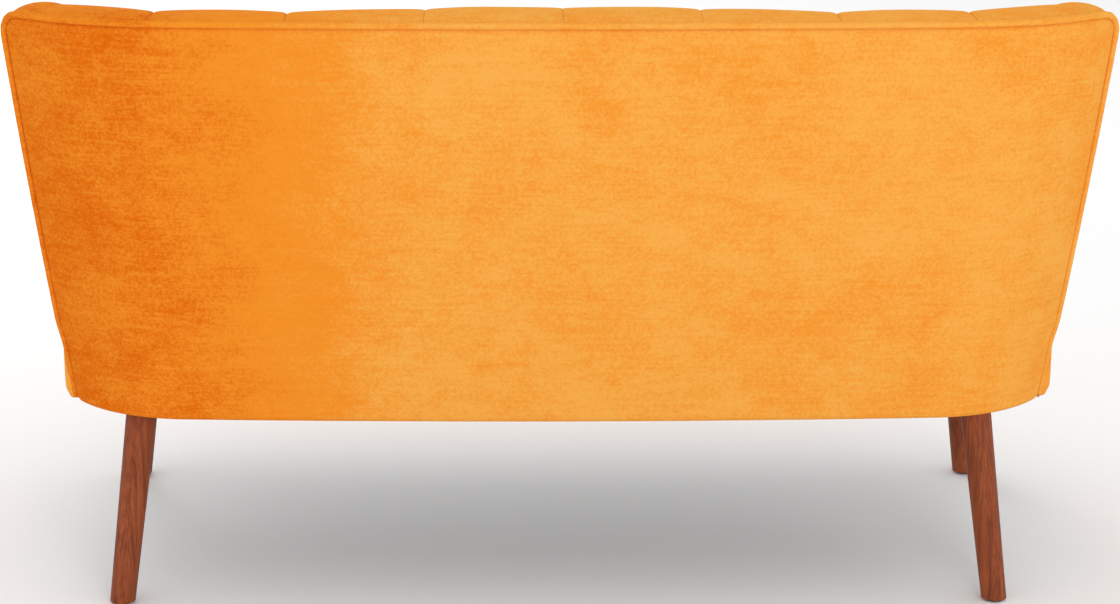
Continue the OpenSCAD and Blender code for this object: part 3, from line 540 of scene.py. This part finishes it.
def moulded():
    """Black moulded plastic, scuffed underneath."""
    n = Nodes("glide_plastic")
    spark = n.noise(900, 2, 0.5)
    scuff = n.noise(1, 4, 0.6, n.scaled((140, 60, 60)))
    colour = n.blend(n.ramp(scuff, 0.55, 0.75, 0, 0.5), (0.025, 0.025, 0.028), (0.09, 0.09, 0.09))
    return n.surface(Base_Color=colour,
                     Roughness=n.ramp(scuff, 0.4, 0.7, 0.42, 0.62), Normal=n.bump(spark, 0.0001, 0.3))


def floor_paint():
    """Plain pale studio floor."""
    n = Nodes("floor_white")
    return n.surface(Base_Color=(0.95, 0.95, 0.95, 1.0), Roughness=0.75, Specular_IOR_Level=0.2)


# ---- pieces ----

COVER_GAP = 0.0034                  # from the side and top edges to the edge of the outside back's velvet
HEM = 0.014                         # how far the velvet turns in under the sofa


def dense_ends(lo, hi, n, near):
    """Values from lo to hi, closer together at both ends."""
    out = []
    for i in range(n + 1):
        t = i / n
        e = (1 - math.cos(math.pi * t)) / 2
        out.append(mix(lo, hi, mix(t, e, near)))
    return out


def outside_back(material):
    """One plain panel of velvet, stretched over the board, sewn in under the piping and turned under."""
    end = 1 - COVER_GAP / half_length(0)
    us = dense_ends(-end, end, 300, 0.85)
    rows = []
    for u in us:
        row = [at_u(u, 0, t) + Vector((0, 0, z)) for t, z in ((HEM, 0.0003), (0.009, 0.0002), (0.005, 0.0))]
        for k in dense_ends(0, 1, 110, 0.8):
            top = 1 - corner_drop(u, COVER_GAP) / SHELL_H
            v = top * k
            edge = min((1 - abs(u)) * half_length(v) - COVER_GAP, (top - v) * SHELL_H)
            p = at_u(u, v, 0)
            t = 0.0030 * (1 - fade(edge / 0.0075)) ** 1.5
            t += 0.0016 * (1 - fade(v * SHELL_H / 0.004))
            t -= 0.0007 * fade(edge / 0.03) * (0.6 * wobble(p, 5.0, 3.1) + 0.4 * wobble(p, 14.0, 7.7))
            row.append(at_u(u, v, t))
        rows.append(row)
    piece = sheet_form("outside_back", rows, material, VELVET_T)
    return done(piece, "velvet", "outside_back_cover")


def back_piping(material):
    """The covered cord up both side edges, round the top corners and along the top."""
    side = [at_u(1, v, -PIPING_OUT) for v in steps(0.004, CORNER_V, 60)]
    h = half_length(1)
    arc = []
    for a in steps(8, 82, 10):
        a = math.radians(a)
        z = PIPING_Z - CORNER_R * (1 - math.sin(a))
        arc.append(at_u((h - CORNER_R + CORNER_R * math.cos(a)) / h, v_at(z), -PIPING_OUT))
    top = [at_s(s, 1, -PIPING_OUT) for s in steps(h - CORNER_R, 0, 90)]
    half = side + arc + top
    path = half + [Vector((-p.x, p.y, p.z)) for p in reversed(half[:-1])]
    piece = tube("outside_back_piping", resample(path, 0.004), PIPING_R, material)
    return done(piece, "velvet_piping", "back_piping")


CHANNELS_A_SIDE = 4


def seams():
    """The channels' seams on one side, as shares of the half width."""
    span = half_length(1) - ROLL_W
    return [k / CHANNELS_A_SIDE * span / half_length(1) for k in range(CHANNELS_A_SIDE + 1)]


def front_swell(w):
    """How full a channel is at a share w across it: 0 at its seams, 1 in the middle."""
    return max(0.0, 1 - abs(2 * w - 1) ** 2.3) ** 0.55


CROWN_DIP = 0.0032                  # how much lower a channel's crown is at its seams
CROWN_FALL = 0.0050                 # how much lower the outer channels' crowns are than the middle ones
CREASE, CREASE_RUN = 0.0020, 0.0022  # depth of a seam's crease over the crown, and how fast it fades
CROWN_MID = 0.52                    # where the crown's top is, as a share of the back's thickness
CROWN_V = 0.9                       # height at which a channel's face starts to turn over
CHANNEL_FOOT = 0.004                # from the seat box to the channels' lower ends
CHANNEL_DEPTH = 0.0665              # depth of the foam that the channels lie on
OVER_RAIL = 0.035                   # from the top piping down to the top rail
LUMBAR_RISE, LUMBAR_Z, LUMBAR_RUN = 0.006, 0.565, 0.075


def crown_at(u):
    """How far the crown stands above the top piping."""
    return CROWN_RISE - CROWN_FALL * fade((abs(u) - seams()[1] / 2) / 0.35)


def channel_column(u, w, width, k, sign):
    """A channel's face at a share w across it: up from the seat, over the crown, down to the rear piping."""
    b = front_swell(w)
    near = min(w, 1 - w) * width
    crease = math.exp(-near / CREASE_RUN)
    sunk = 0.35 + 0.65 * fade(abs(u) / 0.6)
    dip = CROWN_DIP * sunk
    rise = crown_at(u) - dip * (1 - (1 - abs(2 * w - 1) ** 2.0) ** 0.7) - CREASE * sunk * crease
    crown_t = CROWN_MID * BACK_T_TOP
    v0, v1 = v_at(BOX_TOP + CHANNEL_FOOT), CROWN_V
    out = []
    for v in steps(v0, v1, 40):
        z = z_at(v)
        lumbar = LUMBAR_RISE * math.exp(-((z - LUMBAR_Z) / LUMBAR_RUN) ** 2)
        t = back_t(v) - CHANNEL_BULGE * (1 - b) + lumbar * b
        p = at_u(u, v, t)
        t += 0.0010 * b * (wobble(p, 7, k * 1.7 + sign) + 0.5 * wobble(p, 19, k * 2.3))
        out.append(at_u(u, v, t))
    front = back_t(v1) - CHANNEL_BULGE * (1 - b)
    rear = PIPING_R + 0.0009 + 0.0006 * crease
    for a in steps(4, 176, 30):
        c, s = math.cos(math.radians(a)), math.sin(math.radians(a))
        half = front - crown_t if a < 90 else crown_t - rear
        z = mix(z_at(v1), PIPING_Z + rise, s) if a < 90 else mix(PIPING_Z - 0.0050, PIPING_Z + rise, s ** 0.9)
        p = at_u(u, v_at(z), crown_t + half * c)
        lift = 0.0005 * wobble(p, 12, k * 3.1 + sign) * b
        out.append(p + Vector((0, 0, lift)))
    return out


def channel_inside(u, count):
    """The channel's hidden side: up the foam, then over the top rail."""
    low, over = v_at(BOX_TOP + CHANNEL_FOOT), 1 - OVER_RAIL / SHELL_H
    across = 20                     # points over the rail
    up = [at_u(u, v, CHANNEL_DEPTH) for v in steps(low, over - 0.001, count - across - 1)]
    return up + [at_u(u, over, mix(CHANNEL_DEPTH - 0.001, FRAME_IN + 0.0005, t))
                 for t in steps(0, 1, across - 1)]


def mirrored(*grids):
    """The same grids of points on the sofa's other side."""
    return ([[Vector((-p.x, p.y, p.z)) for p in row] for row in grid] for grid in grids)


def back_channel(k, sign, material):
    """One padded channel: its crowned face, and its hidden side against the foam."""
    edges = seams()
    u0, u1 = edges[k] + SEAM_GAP / half_length(1), edges[k + 1] - SEAM_GAP / half_length(1)
    width = (u1 - u0) * half_length(1)
    outer, inner = [], []
    for w in dense_ends(0, 1, 34, 0.9):
        u = mix(u0, u1, w)
        column = channel_column(u, w, width, k, sign)
        outer.append(column)
        inner.append(channel_inside(u, len(column)))
    if sign < 0:
        outer, inner = mirrored(outer, inner)
    index = CHANNELS_A_SIDE - k if sign < 0 else CHANNELS_A_SIDE + 1 + k
    piece = padded_form(f"channel_{index}", outer, inner, material)
    return done(piece, "velvet", f"back_channel_{index}")


ROLL_END = 0.006                    # where the nose's curve starts, back from the side edge
ROLL_THIN = 0.008                   # how much thinner the roll is than the channels
DOME_LOW, DOME_DROP = 0.016, 0.0040  # where the roll's dome starts, and how far below the crowns it ends
DOME_OUT = 0.004                    # how far the dome's top stands out from the roll's middle
NOSE_REAR = 0.0050                  # depth at which the wing roll meets the side piping


def nose_point(a, v, c):
    """A point round the wing's front edge at angle a, grown by c."""
    t_in = back_t(v) - ROLL_THIN
    t_mid = (t_in + NOSE_REAR) / 2
    return at_s(half_length(v) - ROLL_END + (NOSE + ROLL_END + c) * math.cos(a), v,
                t_mid + (t_in - t_mid + c) * math.sin(a))


def roll_outline(v):
    """The padded front roll of a wing, in plan: from its seam, round the nose, to the side piping."""
    h = half_length(v)
    s0 = seams()[-1] * h + SEAM_GAP
    out = []
    for w in dense_ends(0, 1, 22, 0.6):
        t = back_t(v) - ROLL_THIN * w - CHANNEL_BULGE * (1 - front_swell(w * 0.5))
        out.append(at_s(mix(s0, h - ROLL_END, w), v, t))
    return out[:-1] + [nose_point(math.radians(a), v, 0) for a in steps(90, -84, 40)]


def roll_rear(v, count):
    """The roll's hidden side."""
    h = half_length(v)
    return [at_s(mix(seams()[-1] * h + SEAM_GAP, h - ROLL_END, t), v, FRAME_IN + 0.001)
            for t in steps(0, 1, count - 1)]


def wing_roll(sign, material):
    """The padded front roll of a wing, domed at its top."""
    low, dome_z = v_at(BOX_TOP + CHANNEL_FOOT), PIPING_Z - DOME_LOW
    dome_v = v_at(dome_z)
    outer, inner = [], []
    for v in steps(low, dome_v, 60):
        row = roll_outline(v)
        row = [p + (p - at_s(half_length(v) - 0.03, v, 0.05)).normalized()
               * 0.0009 * wobble(p, 9, 4.4 + sign) for p in row]
        outer.append(row)
        inner.append(roll_rear(v, len(row)))
    mid = at_s(half_length(1) + (NOSE - ROLL_W) / 2 + DOME_OUT, dome_v, 0.5 * BACK_T_TOP)
    # In front the dome starts below the piping. Behind, the roll stands up beside the piping first.
    count, h = len(outer[0]), half_length(dome_v)
    us = [mix(seams()[-1] + SEAM_GAP / h, 1 - ROLL_END / h, j / (count - 1)) for j in range(count)]
    behind = [at_u(u, dome_v, FRAME_IN - 0.0003) for u in us]
    starts = [max(dome_z, PIPING_Z - 0.002 - corner_drop(u)) for u in us]
    front, top = outer[-1], PIPING_Z + crown_at(1) - DOME_DROP
    for a in steps(3, 84, 26):
        c, s = math.cos(math.radians(a)) ** 0.95, math.sin(math.radians(a))
        for grid, base, lows in ((outer, front, [dome_z] * count), (inner, behind, starts)):
            grid.append([Vector((mix(mid.x, p.x, c), mix(mid.y, p.y, c), mix(z, top, s)))
                         for p, z in zip(base, lows)])
    if sign < 0:
        outer, inner = mirrored(outer, inner)
    side = "left" if sign < 0 else "right"
    piece = padded_form(f"wing_pad_{side}", outer, inner, material, 60)
    return done(piece, "velvet", f"wing_roll_{side}")


# ---- the seat ----

PAD_CLEAR = 0.002                   # from the seat pad to the channels and the wings
RING_REAR, RING_NOSE = 60, 26       # steps in the pad's outline along the channels and round a wing


def pad_ring(z, g, c):
    """The seat pad's outline at height z, grown by g and kept c clear of the back and wings."""
    v = v_at(z)
    rear = [at_u(u, v, back_t(v) + c) for u in steps(0, seams()[-1], RING_REAR)]
    nose = []
    for a in steps(88, -14, RING_NOSE):
        p = nose_point(math.radians(a), v, c)
        nose.append(Vector((min(p.x, side_point(p.y, g)[0] - 0.0005), p.y, z)))
    last = nose[-1].y - 0.006
    front = corner_arc(g, 30)
    side = [side_point(y, g) for y in steps(last, front[0][1], 70)]
    half = rear + nose + [Vector((x, y, z)) for x, y in side[:-1] + front]
    half += [Vector((x, BOX_FRONT - g, z)) for x in steps(CORNER_X, 0, 60)[1:]]
    half = [Vector((p.x, p.y, z)) for p in half]
    return half + [Vector((-p.x, p.y, z)) for p in reversed(half[1:-1])]


PAD_PRESSURE, PAD_CAP = 4.0, 0.012  # air pressure in the simulation, and the furthest a point may move


def seat_pad(material):
    """The bench cushion: boxed sides that bulge a little between two pipings, and a crowned top."""
    top = SEAT_Z - 0.001
    g = PAD_OVERHANG
    groove = PIPING_R + 0.0012
    profile = [(BOX_TOP + 0.0006, -0.0052), (BOX_TOP + 0.003, -0.0045), (BOX_TOP + 0.0055, -0.0018)]
    for t in steps(0.08, 0.92, 18):
        bulge = 0.0045 * math.sin(math.pi * t)
        profile.append((mix(BOX_TOP + 0.004, SEAT_Z - 0.004, t), mix(-0.0015, g, fade(t * 3)) + bulge))
    profile += [(SEAT_Z - 0.0060, g - 0.0005), (SEAT_Z - 0.0052, g - 0.0035), (SEAT_Z - 0.0040, g - groove)]
    rings = [pad_ring(z, q, PAD_CLEAR) for z, q in profile]
    edge = pad_ring(top, g - groove, PAD_CLEAR)
    tree = KDTree(len(edge))
    for i, p in enumerate(edge):
        tree.insert(p, i)
    tree.balance()
    middle = Vector((0, (BOX_FRONT + 0.24) / 2, top))
    for k in [0.998, 0.996, 0.993, 0.990, 0.985, 0.979, 0.971, 0.961, 0.949] + steps(0.933, 0.02, 44):
        ring = []
        for p in edge:
            q = middle.lerp(p, k)
            off = tree.find(q)[2]
            crown = 0.80 * (1 - math.exp(-off / 0.032)) + 0.26 * (1 - k ** 3)
            rise = 0.0026 * fade(off / 0.004) + PAD_CROWN * crown
            rise += (0.0011 * wobble(q, 4.2, 5) + 0.0006 * wobble(q, 11, 2)) * fade(off / 0.05)
            ring.append(Vector((q.x, q.y, top - 0.001 + rise)))
        rings.append(ring)
    n, m = len(rings), len(rings[0])
    points = [p for ring in rings for p in ring]
    faces = grid_faces(n, m, wrap=True)
    points += [Vector((0, middle.y, BOX_TOP + 0.0006)), sum(rings[-1], Vector()) / m]
    for j in range(m):
        k = (j + 1) % m
        faces += [(n * m, j, k), (n * m + 1, (n - 1) * m + k, (n - 1) * m + j)]
    piece = add_mesh("seat_pad", points, faces, material)
    outward(piece)

    def sewn(p):
        """1 on the sides, the underside and beside the piping, and 0 on the open top."""
        off = tree.find(Vector((p.x, p.y, top)))[2]
        return 1.0 if p.z < top - 0.003 else 1.0 - fade((off - PIPING_R) / 0.03)

    settle(piece, PAD_PRESSURE, PAD_CAP, sewn)
    piece.data.set_sharp_from_angle(angle=math.radians(60))
    return done(piece, "velvet", "seat_cover")


def box_path(g, z, rear, n=50, back=()):
    """Round the box's sides and front at height z. back holds the points of the turn behind its right end."""
    front = corner_arc(g, 30)
    half = list(back) + [side_point(y, g) for y in steps(rear, front[0][1], n)][:-1] + front
    half += [(x, BOX_FRONT - g) for x in steps(CORNER_X, 0, n)[1:]]
    return [Vector((x, y, z)) for x, y in half] + [Vector((-x, y, z)) for x, y in reversed(half[:-1])]


TURN_R = 0.003                      # how sharply the band turns in behind the box


def seat_border(material):
    """The band of velvet round the seat box, turned under at the bottom and into the piping at the top."""
    profile = [(BASE_Z + 0.0004, -0.020), (BASE_Z + 0.0002, -0.010), (BASE_Z, -0.0065)]
    for t in steps(0.02, 0.98, 22):
        tuck = 0.0042 * (1 - fade(t / 0.16)) + 0.0022 * (1 - fade((1 - t) / 0.05))
        profile.append((mix(BASE_Z, BOX_TOP - PIPING_R + 0.0004, t), 0.0015 * math.sin(math.pi * t) - tuck))
    rows = []
    for z, g in profile:
        low = fade((z - BASE_Z - BOX_H / 5) / (BOX_H / 3))
        rear = edge_y(max(z, BASE_Z)) - mix(-0.0015, PIPING_R + 0.001, low)
        edge = at_u(1, v_at(max(z, BASE_Z)), 0.004)
        x1 = side_point(rear - TURN_R, g)[0]
        x0, y0 = edge.x, rear
        turn = [(mix(x0, x1 - TURN_R, t), y0) for t in steps(0, 1, 8)]
        turn += [(x1 - TURN_R + TURN_R * math.sin(a), rear - TURN_R + TURN_R * math.cos(a))
                 for a in (math.pi / 2 * i / 8 for i in range(1, 8))]
        path = box_path(g, z, rear - TURN_R, back=turn)
        rows.append([p + Vector((p.x, p.y, 0)).normalized() * 0.0005 * wobble(p, 8, 6) for p in path])
    piece = sheet_form("seat_band", rows, material, VELVET_T)
    return done(piece, "velvet", "seat_border")


PIPING_STEP = 0.0045                # spacing of the rings along the seat's piping


def seat_pipings(material):
    """The covered cords round the seat pad's lower and upper edges."""
    lower = box_path(-0.0005, BOX_TOP, edge_y(BOX_TOP) - PIPING_R - 0.001)
    piece = tube("seat_piping_low", resample(lower, PIPING_STEP), SEAT_CORD_R, material)
    done(piece, "velvet_piping", "seat_piping_lower")
    ring = pad_ring(SEAT_Z - 0.001, PAD_OVERHANG - 0.001, PAD_CLEAR)
    start = RING_REAR + 1 + RING_NOSE + 1   # past the points along the channels and round the wing
    upper = ring[start:len(ring) - start + 1]
    piece = tube("seat_piping_top", resample(upper, PIPING_STEP), SEAT_CORD_R, material)
    done(piece, "velvet_piping", "seat_piping_upper")


def underside(material):
    """The black lining stapled under the seat box, sagging a little between its edges."""
    shell = [at_s(s, 0, 0.0045) for s in steps(0, half_length(0) - 0.008, 60)]
    shell = [(p.x, p.y) for p in shell]
    arc = corner_arc(-0.008, 24)
    front = [(x, BOX_FRONT + 0.008) for x in steps(CORNER_X, 0, 40)[1:]]
    side = [(mix(shell[-1][0], arc[0][0], t), mix(shell[-1][1], arc[0][1], t)) for t in steps(0, 1, 40)[1:-1]]
    half = shell + side + arc + front
    ring = half + [(-x, y) for x, y in reversed(half[1:-1])]
    y0 = sum(p[1] for p in ring) / len(ring)
    rings = []
    for k in [1, 0.995, 0.985, 0.97] + steps(0.94, 0.04, 30):
        row = []
        for x, y in ring:
            p = Vector((x * k, y0 + (y - y0) * k, 0))
            sag = 0.0035 * (1 - k ** 4) * (0.7 + 0.3 * wobble(p, 3, 1)) + 0.0006 * (1 - k) * wobble(p, 16, 2)
            row.append(Vector((p.x, p.y, BASE_Z + 0.0006 - sag)))
        rings.append(row)
    n, m = len(rings), len(ring)
    points = [p for row in rings for p in row] + [Vector((0, y0, rings[-1][0].z))]
    faces = grid_faces(n, m, wrap=True)
    faces += [(n * m, (n - 1) * m + (j + 1) % m, (n - 1) * m + j) for j in range(m)]
    piece = add_mesh("underside_lining", points, faces, material)
    solid = piece.modifiers.new("thickness", "SOLIDIFY")
    solid.thickness, solid.offset = 0.0005, 0
    apply(piece)
    return done(piece, "lining", "dust_cover")


# ---- carried-over CAD nodes ----

def paint(node, material):
    """Gives a CAD node its material in every slot."""
    piece = bpy.data.objects[node]
    if not piece.material_slots:
        piece.data.materials.append(material)
    for slot in piece.material_slots:
        slot.material = material


def paint_nodes():
    """Paints the timber, metal, foam and legs that come straight from the CAD."""
    stain = walnut_stain()
    beech_x, beech_y, beech_z = (raw_wood(f"beech_{a}", (0.60, 0.40, 0.22), (0.42, 0.25, 0.12), i)
                                 for i, a in enumerate("xyz"))
    ply, board = plywood(), hardboard()
    zinc = metal("zinc_steel", (0.70, 0.70, 0.72), (0.48, 0.48, 0.50), 0.28)
    spring = metal("spring_steel", (0.34, 0.34, 0.36), (0.18, 0.18, 0.19), 0.34)
    foam = soft_stuff("foam", (0.88, 0.80, 0.56), (0.74, 0.62, 0.36), 420, 0.0012)
    felt = soft_stuff("felt", (0.34, 0.31, 0.28), (0.16, 0.15, 0.15), 260, 0.0010)
    strap = soft_stuff("webbing", (0.055, 0.055, 0.06), (0.02, 0.02, 0.022), 1, 0.0006, (380, 60, 520))
    glide = moulded()
    chosen = {
        "seat_front_rail": beech_x, "seat_rear_rail": beech_x, "seat_side_rail_left": beech_y,
        "seat_side_rail_right": beech_y, "seat_centre_brace": beech_y,
        "front_corner_formers": ply, "rear_corner_formers": ply,
        "wing_panel_left": ply, "wing_panel_right": ply,
        "back_top_rail": ply, "back_lumbar_rails": ply, "back_board": board,
        "frame_screws": zinc, "back_bolts": zinc, "back_bolt_washers": zinc,
        "leg_bolts": zinc, "tee_nuts": zinc,
        "seat_springs": spring, "spring_clips": zinc, "spring_tie_wires": spring,
        "spring_felt": felt, "back_webbing": strap, "seat_foam": foam, "back_foam": foam, "leg_glides": glide,
    }
    for end in ("front", "rear"):
        for side in ("left", "right"):
            chosen[f"leg_{end}_{side}"] = stain
            chosen[f"leg_block_{end}_{side}"] = beech_x
    for i in range(1, 5):
        chosen[f"back_post_{i}"] = beech_z
    for node, material in chosen.items():
        paint(node, material)


# ---- stage ----

CAMERA_AWAY, CAMERA_X, CAMERA_Z = 3.60, -0.0012, 1.36
CAMERA_YAW, CAMERA_PITCH, CAMERA_ROLL = math.radians(1.1), math.radians(15.375), math.radians(0.2)
MIDDLE_Y = REAR_Y - 0.22
LENS, SENSOR_W = 93.6, 36           # millimetres
FLOOR_HALF = 30


def add_camera():
    """Behind the sofa and a little above it, as in the photograph."""
    data = bpy.data.cameras.new("camera")
    data.lens, data.sensor_width = LENS, SENSOR_W
    camera = bpy.data.objects.new("camera", data)
    bpy.context.scene.collection.objects.link(camera)
    camera.location = (CAMERA_X + CAMERA_AWAY * math.sin(CAMERA_YAW),
                       MIDDLE_Y + CAMERA_AWAY * math.cos(CAMERA_YAW), CAMERA_Z)
    turn = Matrix.Rotation(math.pi - CAMERA_YAW, 4, "Z") @ Matrix.Rotation(math.pi / 2 - CAMERA_PITCH, 4, "X")
    camera.rotation_euler = (turn @ Matrix.Rotation(CAMERA_ROLL, 4, "Z")).to_euler()
    bpy.context.scene.camera = camera


def add_light(name, place, target, size, power, colour=(1, 1, 1)):
    """A round soft light at a place, turned to a target."""
    data = bpy.data.lights.new(name, "AREA")
    data.shape, data.size, data.energy, data.color = "DISK", size, power, colour
    light = bpy.data.objects.new(name, data)
    bpy.context.scene.collection.objects.link(light)
    light.location = place
    light.rotation_euler = (Vector(target) - Vector(place)).to_track_quat("-Z", "Y").to_euler()


def add_stage():
    """The pale floor, the even white surroundings and two soft lights."""
    f = FLOOR_HALF
    corners = [(-f, -f, 0), (f, -f, 0), (f, f, 0), (-f, f, 0)]
    ground = add_mesh("floor", corners, [(0, 1, 2, 3)], floor_paint())
    world = bpy.data.worlds.new("studio")
    bpy.context.scene.world = world
    world.use_nodes = True
    sky = world.node_tree.nodes["Background"]
    sky.inputs["Color"].default_value = (1.0, 1.0, 1.0, 1.0)
    sky.inputs["Strength"].default_value = 0.90
    add_light("key", (-1.0, 4.5, 1.8), (-0.05, 0.2, 0.45), 2.0, 46, (1.0, 0.98, 0.95))
    add_light("front", (1.4, -3.8, 2.2), (0, 0, 0.4), 2.4, 40)
    bpy.context.scene.view_settings.view_transform = "Standard"


add_camera()
velvet_cloth = velvet("velvet")
# these three velvets carry painted shade that deepens towards the sofa's +X end, on velvet_crown only over
# the crowns
velvet_crown = velvet("velvet_crown", worn=-0.02, shade_sweep=0.50, above=PIPING_Z)
velvet_back = velvet("velvet_back", shade_sweep=0.54)
velvet_cord = velvet("velvet_piping", worn=0.03, shade_sweep=0.50)
outside_back(velvet_back)
back_piping(velvet_cord)
for side_sign in (-1, 1):
    for number in range(CHANNELS_A_SIDE):
        back_channel(number, side_sign, velvet_crown)
    wing_roll(side_sign, velvet_crown)
seat_pad(velvet_cloth)
seat_border(velvet_cloth)
seat_pipings(velvet_cord)
underside(soft_stuff("lining", (0.030, 0.030, 0.033), (0.012, 0.012, 0.014), 700, 0.0004))
paint_nodes()
add_stage()
